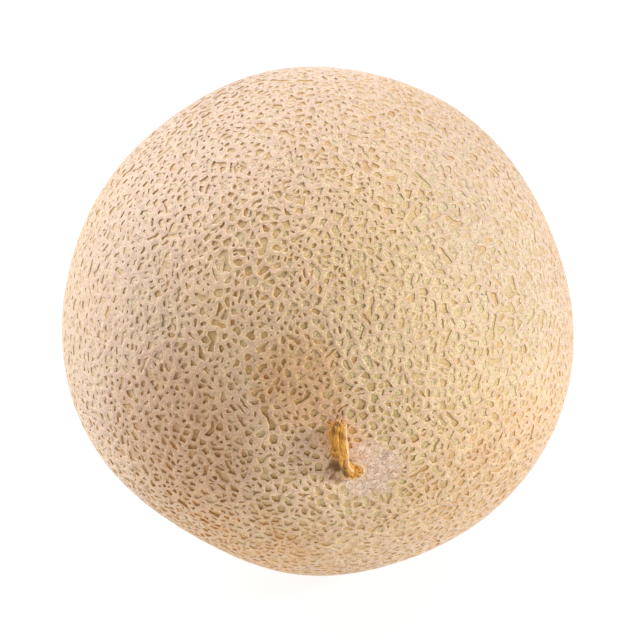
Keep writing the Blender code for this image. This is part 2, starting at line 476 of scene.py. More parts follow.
def ordered_cells(seeds, random):
    """The corners of every cell, in order round its middle, and what each corner draws in to.

    A face of the hull is a corner of the cells of all its points. A pair's two cells share
    two corners, whose middle sees the whole pair, so the angle round that middle puts the
    corners of a pair in order too. A corner draws in to the middle of its own half of the
    pair, and the two shared ones draw in to the pair's waist.
    """
    faces, edges = hull_of(seeds)
    a, b, c = seeds[faces].transpose(1, 0, 2)
    corners = unit(unit(np.cross(b - a, c - a)) + unit(a + b + c))
    points, faces = faces.ravel(), np.repeat(np.arange(len(corners)), 3)
    halves = mean_by(points, len(seeds), corners[faces])
    owner = np.arange(len(seeds))
    pairs = joined_pairs(edges, len(seeds), random)
    owner[pairs[:, 1]] = pairs[:, 0]
    keys = owner[points].astype(np.int64) * len(corners) + faces
    keys, first, times = np.unique(keys, return_index=True, return_counts=True)
    cells, cell = np.unique(keys // len(corners), return_inverse=True)
    corner = keys % len(corners)
    waist = times > 1
    joined = np.zeros(len(cells), bool)
    joined[cell[waist]] = True
    weight = np.where(joined[cell], waist, 1.0)[:, None]
    middle = mean_by(cell, len(cells), corners[corner], weight)
    aim = np.where(waist[:, None], middle[cell], halves[points[first]])
    side = unit(np.cross(middle, SIDEWAYS))
    up = np.cross(middle, side)
    way = corners[corner]
    angle = np.arctan2((way * up[cell]).sum(1), (way * side[cell]).sum(1))
    order = np.lexsort((angle, cell))
    return corners, middle, cell[order], corner[order], aim[order], waist[order]


corners, middles, cell, corner, aim, waist = ordered_cells(seeds, random)
starts = np.searchsorted(cell, np.arange(len(middles)))
sides = np.diff(np.append(starts, len(cell)))
entries = np.arange(len(cell))
following = entries + 1
following[starts + sides - 1] = starts
previous = np.empty_like(following)
previous[following] = entries
print("pits:", len(middles), "corners:", len(corners), "sides in all:", len(cell))

# %% [markdown]
# The first cracks were wide and enclose a few islands each; later ones, inside them,
# stayed thin. Coarser scattered points give those clusters: a side between two cells of
# one cluster gets a thin, low ribbon, and a side between two clusters a thick one.

# %% Thick ribbons round clusters of cells, thin ones inside a cluster
CLUSTERS = 3600
CLUSTER_JITTER = 0.35
NEAREST_PARTS = 20  # the table of distances is worked out in parts, to spare memory


def sides_across():
    """For every side of every cell, the neighbour's side between the same two corners."""
    low = np.minimum(corner, corner[following])
    high = np.maximum(corner, corner[following])
    order = np.lexsort((high, low))
    partner = np.empty(len(cell), int)
    partner[order[0::2]], partner[order[1::2]] = order[1::2], order[0::2]
    return partner


def nearest(directions, places):
    """For each direction, the number of the nearest place."""
    parts = np.array_split(directions, NEAREST_PARTS)
    return np.concatenate([np.argmax(part @ places.T, axis=1) for part in parts])


cluster = nearest(middles, scattered(CLUSTERS, CLUSTER_JITTER, random))
across = sides_across()
inside_cluster = cluster[cell] == cluster[cell[across]]
print("sides inside a cluster:", int(inside_cluster.sum()), "of", len(cell))

# %% [markdown]
# Round the stem and at the blossom end the cork closes over, and the spot that the fruit
# lay on is worn smooth. There the pits shrink away. Elsewhere their width and depth differ
# by region and from pit to pit: the left flank, for one, has narrow shallow ones.

# %% Bare scars
BARE_PLACES = (  # (place, no pits within, full pits beyond)
    (unit(np.array([0.062, -1.0, -0.010])), 6.0 * MM, 12.0 * MM),
    (BLOSSOM_END, 4.0 * MM, 10.0 * MM),
    (GROUND, 11.0 * MM, 30.0 * MM),
)


def fading(distance, start, end):
    """0 up to start, 1 from end on, with the smooth S of 3t^2 - 2t^3 between."""
    t = np.clip((distance - start) / (end - start), 0, 1)
    return t * t * (3 - 2 * t)


def openness(directions):
    """1 where the pits are at full size, 0 on the bare scars."""
    share = np.ones(len(directions))
    for place, bare, full in BARE_PLACES:
        share = share * fading(arc_to(directions, place), bare, full)
    return share


open_pits = openness(middles)
print("pits that are closed over:", int((open_pits < 0.01).sum()))

# %% How wide the ribbons are
THICK_HALF_WIDTH = 0.50 * MM
THIN_HALF_WIDTH = 0.18 * MM
CELL_SPREAD = 0.22
SIDE_SPREAD = 0.25
WIDER_ON_FLANK = (LEFT_FLANK, 0.7, 58 * MM)
OPEN_BASE = 0.35  # what stands in for the openness where there is none


def half_widths(random):
    """Half the ribbon's width on every side of every cell.

    A thick or thin width, times exp of a bell-curve draw for the cell and of one for the
    side. It is divided by the openness, which widens the ribbons towards the scars.
    """
    width = np.where(inside_cluster, THIN_HALF_WIDTH, THICK_HALF_WIDTH)
    width = width * np.exp(random.normal(0, CELL_SPREAD, len(middles)))[cell]
    width = width * np.exp(random.normal(0, SIDE_SPREAD, len(cell)))
    closed = regional(middles, 1, [WIDER_ON_FLANK]) / (OPEN_BASE + (1 - OPEN_BASE) * open_pits)
    return width * closed[cell]


half_width = half_widths(random)
print("ribbons' half widths, mm:", (np.percentile(half_width, [5, 50, 95]) / MM).round(2))

# %% Where the rings of each pit lie, and how deep it is
WALL_RUN = 0.20 * MM
LARGEST_RUN_SHARE = 0.45
SMALLEST_SHARE = 0.16
LARGEST_SHARE = 0.84
SMALLEST_OPENING = 0.05
OPENING_GAIN = 3
DRAWN_IN_SHARE = 0.33  # how many corners are drawn in, how far, and where the others stay
DRAWN_IN_TO = (0.45, 0.78)
LEFT_AT = (0.94, 1.14)
WAIST_SHARES = (0.55, 0.95)
PIT_DEPTH = 0.40 * MM
DEPTH_SPREAD = (0.65, 1.25)
DEEPEST_SHARE = 0.9  # of a pit's mean reach
DEPTH_BY_REGION = 1.03, (
    (LEFT_FLANK, -0.42, 45 * MM),
    (LOWER_LEFT, 0.68, 35 * MM),
    (RIGHT_FLANK, -0.35, 40 * MM),
    (LOWER_FRONT, -0.5, 30 * MM),
    (UPPER_MIDDLE, 0.15, 25 * MM),
)


def distance_to_line(way, edge):
    """How far from a vector's foot a line is that runs along an edge from the vector's tip.

    |way x edge| / |edge|.
    """
    return np.linalg.norm(np.cross(way, edge), axis=1) / np.linalg.norm(edge, axis=1)


def rim_shares(way, random):
    """How far the rim of every pit reaches, as shares of the way from the aim to the corner.

    An edge at distance d from the aim moves in by the ribbon's half width w, which leaves
    1 - w/d of the way. A corner takes the mean of its two edges, and is then drawn in or
    left by a random factor. The shared corners of a pair make its waist.
    """
    count = len(cell)
    edge = (corners[corner[following]] - corners[corner]) * FRUIT_RADIUS
    after = half_width / distance_to_line(way, edge)
    before = half_width[previous] / distance_to_line(way, edge[previous])
    share = 1 - (after + before) / 2
    drawn_in = random.random(count) < DRAWN_IN_SHARE
    drawn, left = random.uniform(*DRAWN_IN_TO, count), random.uniform(*LEFT_AT, count)
    share = share * np.where(drawn_in, drawn, left)
    share = np.where(waist, random.uniform(*WAIST_SHARES, count), share)
    opening = np.clip(open_pits * OPENING_GAIN, SMALLEST_OPENING, 1)
    return np.clip(share, SMALLEST_SHARE, LARGEST_SHARE) * opening[cell]


def pit_depths(reach, random):
    """How deep every pit is: by region and by chance, and never deeper than it is wide."""
    room = np.add.reduceat(reach, starts) / sides
    depth = PIT_DEPTH * regional(middles, *DEPTH_BY_REGION)
    depth = depth * random.uniform(*DEPTH_SPREAD, len(middles))
    return np.minimum(depth, DEEPEST_SHARE * room) * open_pits


way = (corners[corner] - aim) * FRUIT_RADIUS
upper = rim_shares(way, random)
reach = np.linalg.norm(way, axis=1) * upper
lower = upper * (1 - np.minimum(LARGEST_RUN_SHARE, WALL_RUN / reach))
depth = pit_depths(reach, random)
print("pit depths, mm:", (np.percentile(depth, [5, 50, 95]) / MM).round(2))

# %% [markdown]
# Each cell now gets three rings of points and one point at the bottom: a crest and a rim,
# between which the ribbon slopes down to the pit, and a foot where the wall meets the
# floor. The bottom point stands a little over or under the foot, which domes the floor.
#
# The cork and the skin are different finishes, and a piece has to stay light enough to be
# passed on whole, so the rind is four pieces that share their edges: the ribbons' tops,
# their slopes, the pits' walls and the pits' floors.

# %% The points of the net and of the pits
CREST_SHARE = 0.45  # the ribbon's flat top, as a share of its width
RIBBON_CROWN = 0.13 * MM
SEPTUM_SUNK = 0.18 * MM  # how much lower the thin ribbons inside a cluster lie
RIBBON_UNEVENNESS = 0.04 * MM
FLOOR_DEPTHS = (-1.15, -0.75)  # the bottom's height, for a foot at -1
TABLE_SOFTNESS = 0.25 * MM
WELL_OVER = 20


def settled(directions, height):
    """Points at a height over the skin, in the frame, with none under the table.

    Their height z becomes soft * log(1 + exp(z / soft)), which is z for all that is well
    over the table, and just over zero for what would be under it.
    """
    points = CENTRE + directions * (skin_radius(directions) + height)[:, None]
    over = points[:, 2] / TABLE_SOFTNESS
    pressed = np.log1p(np.exp(np.minimum(over, WELL_OVER)))
    points[:, 2] = TABLE_SOFTNESS * np.where(over > WELL_OVER, over, pressed)
    return points


def on_ring(share, height):
    """Points that share of the way from each corner's aim to it, at a height over the skin."""
    return settled(unit(aim + (corners[corner] - aim) * share[:, None]), height)


open_there = open_pits[cell]
septum = (inside_cluster.astype(float) + inside_cluster[previous]) / 2
unevenness = random.uniform(-1, 1, len(corners))[corner] * RIBBON_UNEVENNESS
rim_height = -septum * SEPTUM_SUNK * open_there
crest_height = rim_height + (RIBBON_CROWN * (1 - 0.5 * septum) + unevenness) * open_there
crest = on_ring(1 - (1 - upper) * CREST_SHARE, crest_height)
rim = on_ring(upper, rim_height)
foot = on_ring(lower, -depth[cell])
bottom = settled(middles, depth * random.uniform(*FLOOR_DEPTHS, len(middles)))
print("highest crest, mm over the skin:", round(float(crest_height.max() / MM), 3))


# %% The faces of the net and of the pits
def ring_quads(outer, inner):
    """A quad over every side, between two rings, each given by its first point's number."""
    quads = [outer + entries, outer + following, inner + following, inner + entries]
    return np.stack(quads, axis=1).tolist()


def top_faces():
    """A quad across every side, and a triangle where three cells meet.

    Going back one side in a cell and over to the neighbour there leads round a corner.
    Where a pair is joined, only two cells meet at its waist, and their quads close the gap
    between them.
    """
    crossing = entries[entries < across]
    quads = np.stack([following, entries, following[across], across], axis=1)[crossing]
    second = across[previous]
    third = second[second]
    meeting = (third != entries) & (entries < second) & (entries < third)
    corner_faces = np.stack([entries, second, third], axis=1)[meeting]
    return quads.tolist() + corner_faces.tolist()


def floor_faces():
    """A fan of triangles from every foot to the bottom."""
    return np.stack([entries, following, len(cell) + cell], axis=1).tolist()


across_tops = top_faces()
slope_faces = ring_quads(0, len(cell))
print("faces on the ribbons' tops:", len(across_tops), "and on their slopes:", len(slope_faces))


# %% The rind's four pieces
def mesh_object(name, points, faces, smooth=True):
    """An object at the origin whose mesh has these points and faces."""
    mesh = bpy.data.meshes.new(name)
    mesh.from_pydata(points.tolist(), [], faces)
    mesh.polygons.foreach_set("use_smooth", np.full(len(mesh.polygons), smooth))
    mesh.update()
    made = bpy.data.objects.new(name, mesh)
    bpy.context.scene.collection.objects.link(made)
    return made


def store(piece, name, values):
    """Keeps a number for each vertex on the mesh, for the material to read."""
    layer = piece.data.attributes.new(name, "FLOAT", "POINT")
    layer.data.foreach_set("value", np.asarray(values, np.float32))


def triangles(piece):
    """How many triangles the piece's faces make."""
    return sum(len(face.vertices) - 2 for face in piece.data.polygons)


def shared_normals(points, faces):
    """The normals at a mesh's vertices, for pieces whose shading runs on over a shared edge."""
    whole = bpy.data.meshes.new("whole")
    whole.from_pydata(points.tolist(), [], faces)
    normals = np.empty(3 * len(points), np.float32)
    whole.vertex_normals.foreach_get("vector", normals)
    bpy.data.meshes.remove(whole)
    return normals.reshape(-1, 3)


ribbon_points = np.vstack([crest, rim])
ribbon_normals = shared_normals(ribbon_points, across_tops + slope_faces)
tops = mesh_object("ribbon_tops", crest, across_tops)
slopes = mesh_object("ribbon_slopes", ribbon_points, slope_faces)
for piece, rings in ((tops, 1), (slopes, 2)):
    store(piece, "across", np.repeat([0.0, 1.0][:rings], len(cell)))
    store(piece, "septum", np.tile(septum, rings))
    piece.data.normals_split_custom_set_from_vertices(ribbon_normals[: rings * len(cell)])

kind = random.random(len(middles))
walls = mesh_object("pit_walls", np.vstack([rim, foot]), slope_faces)
store(walls, "sunk", np.repeat([0.0, 1.0], len(cell)))
store(walls, "kind", np.tile(kind[cell], 2))
floors = mesh_object("pit_floors", np.vstack([foot, bottom]), floor_faces())
store(floors, "sunk", np.repeat([1.0, 1.5], [len(cell), len(middles)]))
store(floors, "kind", np.append(kind[cell], kind))
print("triangles:", {piece.name: triangles(piece) for piece in (tops, slopes, walls, floors)})

# %% [markdown]
# ## The rind's colours
#
# Neither cork nor skin has one colour. Both are mottled and grained, and the fruit is orange
# below. Some of the colour is painted light: a painted highlight on the ribbons' edges, painted
# shade on the lower left, in the pits' walls and by the stem, and painted sheen that makes the top
# and flanks paler and cooler. A painted map would need a seam somewhere and would blur close up.
# Noise that reads the place on the fruit has neither fault, and numbers stored on the mesh say
# where a ribbon's edge is and how deep in a pit a point lies, which noise can't know.
#
# The tints come first. Each multiplies the colour round one place, and some in patches.

# %% Tints by region, and grain
TINTS = (  # (place, cosines where the tint starts and is full, size of its patches, colour)
    ((-0.62, -0.78, 0.05), 0.920, 0.990, None, (0.94, 0.84, 0.78)),  # painted shade: darker and browner on the lower left
    ((-0.18, -0.93, 0.36), 0.975, 0.998, None, (0.97, 0.85, 0.73)),  # tan, over the stem
    ((-0.12, -0.98, 0.06), 0.960, 0.990, None, (1.08, 1.06, 1.07)),  # pale, round the stem
    ((-0.35, -0.75, -0.56), 0.860, 0.985, 6.0 * MM, (1.05, 0.91, 0.74)),  # orange, below
    ((0.45, -0.82, -0.30), 0.850, 0.985, 6.0 * MM, (0.93, 0.87, 0.79)),  # lower right
    ((0.45, -0.70, 0.55), 0.800, 0.970, None, (0.94, 0.96, 0.93)),  # olive, upper right
    ((-0.30, 0.25, 0.95), 0.500, 0.980, None, (0.95, 0.99, 1.17)),  # painted sheen: paler and cooler on top
    ((-0.90, -0.35, 0.25), 0.800, 0.980, None, (0.90, 0.93, 1.03)),  # painted sheen: paler and cooler on the left flank
    # painted sheen: paler and cooler on the right flank
    ((0.80, -0.25, 0.55), 0.700, 0.970, None, (0.91, 0.96, 1.10)),
    ((-0.033, -1.0, 0.027), 0.9988, 0.9996, None, (0.36, 0.23, 0.03)),  # painted shadows of the stem on its left: a dark one, and a wider, patchy one next
    ((-0.044, -1.0, -0.012), 0.9983, 0.9997, 1.5 * MM, (0.66, 0.51, 0.39)),
    ((0.0, 1.0, 0.0), 0.9985, 0.9996, 1.5 * MM, (0.66, 0.52, 0.40)),  # blossom end
)
GRAIN_SIZE = 0.50 * MM
GRAIN_LEVELS = (0.83, 1.13)


def tinted(m, colour):
    """The colour multiplied by each tint near its place."""
    way = m.from_centre()
    for place, start, full, patches, tint in TINTS:
        share = m.towards(way, place).step(start, full)
        if patches:
            patchy = m.noise(patches, 3.0, m.wobbled(patches, 0.5 * patches))
            share = share * patchy.step(0.30, 0.60)
        colour = m.multiplied(share, colour, tint)
    return colour


def grained(m, colour):
    """The colour, made a little lighter and darker by fine grain."""
    grain = m.noise(GRAIN_SIZE, 1.5, roughness=0.6).step(0.30, 0.70, *GRAIN_LEVELS)
    grey = m.node("ShaderNodeCombineColor", {}, (grain, grain, grain))
    return m.mix(1.0, colour, grey, "MULTIPLY")


print("tints:", len(TINTS))

# %% [markdown]
# ### Cork
#
# Cork is a mass of dead, air-filled cells. It is pale and quite dull, and its fine fuzz
# brightens it where it turns away from the eye, which a little sheen gives. On the tops it
# is wrinkled; round the stem it is whiter, mottled and cracked. Wrinkles and cracks are
# far finer than the mesh, so they are the borders of scattered cells, drawn dark and
# pressed in with a bump.

# %% Cork's material
CREAM_CORK = (0.93, 0.680, 0.415)
PINK_CORK = (0.87, 0.580, 0.390)
DULL_TOP = (0.95, 0.92, 0.90)
PAINTED_EDGE_HIGHLIGHT = (1.0, 0.825, 0.56)
SEPTUM_TAN = (0.80, 0.56, 0.32)
WRINKLE_BROWN = (0.58, 0.37, 0.22)
SCAR_TAN = (0.76, 0.50, 0.32)
SCAR_WHITE = (1.0, 0.80, 0.63)
CRACK_BROWN = (0.45, 0.25, 0.13)
SCAR_PLACE = (0.075, -1.0, -0.01)
RIND_SHEEN = {"Sheen_Weight": 0.35, "Sheen_Roughness": 0.45}
RIND_BUMP = 0.14 * MM


def cork_colour(m):
    """Pale cork, pinkish and cream by turns."""
    return m.mix(m.noise(2.6 * MM, 3.0).step(0.36, 0.64), CREAM_CORK, PINK_CORK)


def cork_material():
    """Cork with a painted highlight on the ribbons' edges, wrinkled tops, and a whiter, cracked
    scar round the stem.
    """
    m = Material("cork", 0.62, **RIND_SHEEN)
    # Painted highlight: the ribbons' edges are drawn brighter than their tops.
    edge = (m.attribute("across") + (m.noise(0.5 * MM) - 0.5) * 0.5).step(0.45, 0.85)
    colour = m.mix(edge * 0.85, m.multiplied(1.0, cork_colour(m), DULL_TOP), PAINTED_EDGE_HIGHLIGHT)
    colour = m.mix(m.attribute("septum") * 0.5, colour, SEPTUM_TAN)
    scar = m.towards(m.from_centre(), SCAR_PLACE).step(0.988, 0.9960)
    scar = scar * m.noise(3.0 * MM).step(0.30, 0.50)
    wrinkle = m.edges(1.1 * MM, m.wobbled(0.6 * MM, 0.6 * MM)).step(0.03, 0.20, 1.0, 0.0)
    wrinkle = wrinkle * m.noise(1.7 * MM).step(0.42, 0.60)
    colour = m.mix(wrinkle * 0.38, colour, WRINKLE_BROWN)
    crack = m.edges(1.1 * MM, m.wobbled(0.8 * MM, 1.0 * MM)).step(0.0, 0.12, 1.0, 0.0)
    crack = crack * scar * m.noise(1.3 * MM).step(0.40, 0.60)
    mottle = m.noise(1.6 * MM, 3.0, roughness=0.7).step(0.40, 0.60)
    colour = m.mix(scar * 0.85, colour, m.mix(mottle, SCAR_TAN, SCAR_WHITE))
    colour = m.mix(crack * 0.8, colour, CRACK_BROWN)
    m.set("Base Color", grained(m, tinted(m, colour)))
    rough = m.noise(0.6 * MM, 4.0, roughness=0.65)
    m.bumps((rough + crack * -0.7 + wrinkle * -0.35, RIND_BUMP))
    return m.data


cork = cork_material()
print("cork's nodes:", len(cork.node_tree.nodes))

# %% [markdown]
# ### The first skin
#
# In the pits the fruit's first, smooth skin still shows. It is olive on the right, tan or orange
# elsewhere, and thin threads of cork divide the floors of some pits. The walls are browner than
# the floors: that is painted shade in the pits. Each pit drew a number between 0 and 1 when it was
# made, its kind, and that decides which sort it is.

# %% Skin's material
TAN_FLOOR = (0.86, 0.585, 0.305)
OLIVE_FLOOR = (0.82, 0.645, 0.330)
ORANGE_CRUST = (0.86, 0.53, 0.24)
THREAD_CORK = (0.92, 0.69, 0.43)
SHADED_FLOOR = (0.87, 0.86, 0.78)
BARE_FLOOR = (0.93, 0.92, 0.86)
STEM_END_FLOOR = (0.86, 0.86, 0.78)
PAINTED_WALL_SHADE = (0.98, 0.87, 0.70)
OLIVE_PLACE = (0.40, -0.75, 0.50)


def stem_end_share(m):
    """1 round the stem end, where the pits are darker and have few threads."""
    return m.towards(m.from_centre(), STEM_END).step(0.88, 0.98)


def floor_colour(m, kind, thread):
    """The floors: tan or olive, some crusted orange, shaded in patches, crossed by threads."""
    olive = m.towards(m.from_centre(), OLIVE_PLACE).step(0.45, 0.95) * 0.5 + kind
    floor = m.mix(olive.step(0.60, 1.20), TAN_FLOOR, OLIVE_FLOOR)
    crust = kind.step(0.06, 0.08, 1.0, 0.0) * m.noise(1.4 * MM).step(0.42, 0.56)
    floor = m.mix(crust, floor, ORANGE_CRUST)
    shade = m.noise(1.5 * MM).step(0.35, 0.65, 1.0, 0.0)
    floor = m.multiplied(shade, floor, SHADED_FLOOR)
    floor = m.multiplied(kind.step(0.45, 0.70, 1.0, 0.0), floor, BARE_FLOOR)
    floor = m.multiplied(stem_end_share(m), floor, STEM_END_FLOOR)
    return m.mix(thread, floor, THREAD_CORK)


def skin_material():
    """The first skin in the pits: walls browned by painted shade, and floors of several kinds."""
    m = Material("skin", 0.55, **RIND_SHEEN)
    kind = m.attribute("kind")
    sunk = m.attribute("sunk") + (m.noise(0.5 * MM) - 0.5) * 0.4
    thread = m.edges(1.15 * MM, m.wobbled(0.7 * MM, 0.35 * MM)).step(0.05, 0.22, 1.0, 0.0)
    thread = thread * kind.step(0.45, 0.70) * (1.0 - stem_end_share(m) * 0.8)
    floor = floor_colour(m, kind, thread)
    # Painted shade: the walls are drawn darker and browner than the floors.
    wall = m.multiplied(1.0, floor, PAINTED_WALL_SHADE)
    colour = m.mix(sunk.step(0.0, 0.35), cork_colour(m), wall)
    colour = m.mix(sunk.step(0.80, 1.10), colour, floor)
    m.set("Base Color", grained(m, tinted(m, colour)))
    m.bumps((m.noise(0.5 * MM, 4.0, roughness=0.65) + thread * 0.9, RIND_BUMP))
    return m.data


skin = skin_material()
for piece, material in ((tops, cork), (slopes, cork), (walls, skin), (floors, skin)):
    piece.data.materials.append(material)
    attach(piece, "root")
    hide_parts("melon")
print("skin's nodes:", len(skin.node_tree.nodes))

# %% [markdown]
# ## The dried stem
#
# What is left of the stem is a stub of woody fibres. It grows out of a broken cup, all that
# is left of the flared joint, and bends over to lie along the fruit. Drying has shrunk the
# soft tissue between the fibres, so the stub is fluted, ragged and full of grooves.
#
# The stub is a tube swept along a bent line. A sculpted lump would have no run of fibres
# to colour it by. Here the line comes first: a smooth curve through a few stops, given by
# how far they lie to the side, over the skin and up the skin.

# %% The stub's line
STUB_STOPS = (  # (to the side, over the skin, up the skin, radius)
    (0.7 * MM, -0.5 * MM, -0.5 * MM, 2.3 * MM),
    (0.2 * MM, 0.8 * MM, 0.2 * MM, 2.0 * MM),
    (-0.8 * MM, 2.1 * MM, 1.9 * MM, 1.6 * MM),
    (-1.9 * MM, 3.1 * MM, 4.6 * MM, 1.85 * MM),
    (-2.7 * MM, 3.5 * MM, 8.0 * MM, 2.50 * MM),
    (-3.2 * MM, 3.4 * MM, 12.4 * MM, 2.60 * MM),
    (-3.3 * MM, 3.1 * MM, 16.6 * MM, 2.55 * MM),
)
STUB_RINGS = 120
STUB_AROUND = 90


def over_skin(side, height, up):
    """Points near the stem's scar, given to the side (X), up the skin (Z) and over it."""
    level = np.stack([side, -np.sqrt(FRUIT_RADIUS**2 - side**2 - up**2), up], axis=-1)
    direction = unit(level)
    return CENTRE + direction * (skin_radius(direction) + height)[..., None]


def smooth_route(stops, count):
    """Rows at even steps along a Catmull-Rom curve through the stops.

    Between stops b and c, with a before and d after them, it is half of
    2b + (c - a) t + (2a - 5b + 4c - d) t^2 + (3b - 3c + d - a) t^3.
    """
    stops = np.array(stops)
    padded = np.vstack([2 * stops[0] - stops[1], stops, 2 * stops[-1] - stops[-2]])
    places = np.linspace(0, len(stops) - 1, count)
    first = np.minimum(places.astype(int), len(stops) - 2)
    t = (places - first)[:, None]
    a, b, c, d = (padded[first + k] for k in range(4))
    bend, twist = 2 * a - 5 * b + 4 * c - d, 3 * b - 3 * c + d - a
    return 0.5 * (2 * b + (c - a) * t + bend * t**2 + twist * t**3)


def carried_frames(line):
    """A tangent and two normals at each point of a line, carried along with no twist."""
    tangents = unit(np.gradient(line, axis=0))
    normal = np.array([1.0, 0.0, 0.0])
    normals = []
    for tangent in tangents:
        normal = unit(normal - tangent * (normal @ tangent))
        normals.append(normal)
    normals = np.array(normals)
    return tangents, normals, np.cross(tangents, normals)


route = smooth_route(STUB_STOPS, STUB_RINGS)
stub_line = over_skin(route[:, 0], route[:, 1], route[:, 2])
tangents, normals, binormals = carried_frames(stub_line)
stub_length = np.linalg.norm(np.diff(stub_line, axis=0), axis=1).sum()
print("stub's length, mm:", round(float(stub_length / MM), 1))

# %% [markdown]
# The tube's radius is a sum of waves round it, which turn slowly on the way, so that the
# grooves wind about the stub as its fibres do. A pale rib runs up its right side. At its
# far end the tube turns in on itself, which leaves a ragged hollow end.

# %% The stub's surface
FLUTES = 5
STUB_TWIST = math.radians(75)
TURN_WOBBLE = 0.25
FIBRE_WAVES = ((14, 0.45), (24, 0.35), (38, 0.20))  # (half waves round the stub, share)
FLUTE_DEPTH = 0.20  # all four as shares of the radius
FIBRE_DEPTH = 0.17
LUMP_HEIGHT = 0.075
KNOT_HEIGHT = 0.10
RIB_AT = math.radians(-35)
RIB_WIDTH = 0.24
RIB_RADIUS = 1.10
RAGGED_REACH = 1.1 * MM
END_RINGS = ((0.80, 0.35 * MM), (0.55, 1.3 * MM), (0.25, 1.9 * MM))  # (share, how far in)
END_BACK = 2.0 * MM


def angle_from(around, middle):
    """The angle from the middle, between -pi and pi."""
    return (around - middle + math.pi) % (2 * math.pi) - math.pi


def waves(random, around, along, highest, turns, count):
    """A smooth random field on a tube: a sum of cosines with whole waves round it.

    The last three arguments are the most waves round the tube, the most radians for each
    unit along it, and how many cosines there are.
    """
    total = np.zeros(np.broadcast(around, along).shape)
    for _ in range(count):
        round_it = random.integers(0, highest + 1)
        up_it = random.uniform(-turns, turns)
        phase = random.uniform(0, 2 * math.pi)
        total += np.cos(round_it * around + up_it * along + phase)
    return total / math.sqrt(count / 2)


random = np.random.default_rng(SEED + 1)
along = np.linspace(0, 1, STUB_RINGS)[:, None]
around = np.linspace(0, 2 * math.pi, STUB_AROUND, endpoint=False)[None]
turned = around - STUB_TWIST * along + TURN_WOBBLE * waves(random, around, along * 6, 2, 3, 6)
flute = (1 - np.cos(FLUTES * turned)) / 2
fibres = 0
for number, share in FIBRE_WAVES:
    swayed = number * turned / 2 + 0.6 * waves(random, around, along * 9, 3, 4, 6)
    fibres = fibres + share * (1 - np.abs(np.cos(swayed)))
lumps = waves(random, around, along * 14, 4, 3, 12)
knots = np.maximum(waves(random, around, along * 40, 7, 5, 14) - 0.9, 0)
rib = np.exp(-((angle_from(around, RIB_AT + 0.5 * along) / RIB_WIDTH) ** 2))
rib = rib * fading(along, 0.15, 0.3)
relief = 1 - FLUTE_DEPTH * flute - FIBRE_DEPTH * fibres + LUMP_HEIGHT * lumps + KNOT_HEIGHT * knots
relief = relief * (1 - rib) + rib * (RIB_RADIUS + 0.02 * lumps)
radius = route[:, 3:] * relief
torn = 0.45 * waves(random, around, 0 * along, 12, 0, 14) - 0.5 * fibres
ragged = fading(along, 0.90, 1.0) * torn * RAGGED_REACH
side_way = normals[:, None] * np.cos(around)[..., None]
side_way = side_way + binormals[:, None] * np.sin(around)[..., None]
stub = stub_line[:, None] + side_way * radius[..., None] + tangents[:, None] * ragged[..., None]
print("stub's radius, mm:", (np.percentile(radius, [0, 50, 100]) / MM).round(2))

# %% The stub's mesh, and what its material reads
SHADED_WAY = unit(np.array([-0.9, -0.2, -0.4]))  # the side on which the lower part gets painted shade
STRAND_SPREAD = 2.3  # the strands' own coordinates, in mm: so far out from the axis,
STRAND_RUN = 20 / 7  # and 20 along it, shrunk seven times to draw the noise out


def grid_faces(rows, columns, first=0):
    """Quads between rows of points, each row closed into a ring."""
    row = np.arange(rows - 1)[:, None] * columns + first
    here, there = np.arange(columns), (np.arange(columns) + 1) % columns
    over = row + columns
    quads = np.stack([row + here, row + there, over + there, over + here], axis=-1)
    return quads.reshape(-1, 4).tolist()


def cap(first, columns, point, turned_over=False):
    """A fan of triangles from a ring to one point."""
    here, there = np.arange(columns), (np.arange(columns) + 1) % columns
    fan = np.stack([first + here, first + there, np.full(columns, point)], axis=1)
    return (fan[:, ::-1] if turned_over else fan).tolist()


def tube_faces(rows, columns, first, start, end):
    """A grid of rings, closed at both ends by fans to the points start and end."""
    faces = grid_faces(rows, columns, first) + cap(first, columns, start, True)
    return faces + cap(first + (rows - 1) * columns, columns, end)


def on_stub(field, last=(0.0, 0.0)):
    """A field on the stub's rings, as one number for each point of the piece."""
    extra = rows - len(field)
    field = np.concatenate([field, np.repeat(field[-1:], extra, axis=0)])
    return np.append(field.ravel(), last)


for share, back in END_RINGS:
    flat = stub_line[-1] + side_way[-1] * (radius[-1] * share)[:, None]
    ring = flat + tangents[-1] * (ragged[-1][:, None] * share - back)
    stub = np.concatenate([stub, ring[None]])
rows = len(stub)
stub_ends = np.stack([stub_line[0], stub_line[-1] - tangents[-1] * END_BACK])
count = rows * STUB_AROUND
faces = tube_faces(rows, STUB_AROUND, 0, count, count + 1)
stub_piece = mesh_object("stem_stub", np.vstack([stub.reshape(-1, 3), stub_ends]), faces)

strand_x, strand_y = np.cos(turned) * STRAND_SPREAD, np.sin(turned) * STRAND_SPREAD
# Painted shade in the grooves: where fibres and flutes sink in, the wood is drawn darker.
groove = np.clip(0.55 * fibres + 0.45 * flute - 0.35 * lumps - 0.5 * knots, 0, 1.5)
low_part = fading(-along, -0.80, -0.45)
# Painted shade down the stub's lower left side, away from the lamps.
shaded = fading(side_way @ SHADED_WAY, 0.25, 0.85) * low_part * (0.8 + 0.3 * lumps)
# Painted shade in the hollow end: its turned-in rings and its last point are drawn dark brown.
hollow = np.append(np.zeros(STUB_RINGS), (0.45, 0.9, 1.0))[:, None] * np.ones(STUB_AROUND)
store(stub_piece, "fibre_x", on_stub(strand_x))
store(stub_piece, "fibre_y", on_stub(strand_y))
store(stub_piece, "fibre_z", on_stub(along * STRAND_RUN + 0 * turned))
store(stub_piece, "groove", on_stub(groove))
store(stub_piece, "rib", on_stub(rib))
store(stub_piece, "shade", on_stub(np.clip(shaded, 0, 1)))
store(stub_piece, "hollow", on_stub(hollow, (0.0, 1.0)))
print("stub triangles:", triangles(stub_piece))

# %% [markdown]
# ### The broken cup
#
# When a melon ripens, its stem lets go at a flared joint. Here a shallow, ragged cup of it
# is left, with a broken rim that stands highest on the lower left. It is a profile turned
# round, like a saucer's, with waves that fray the rim and fold the wall.

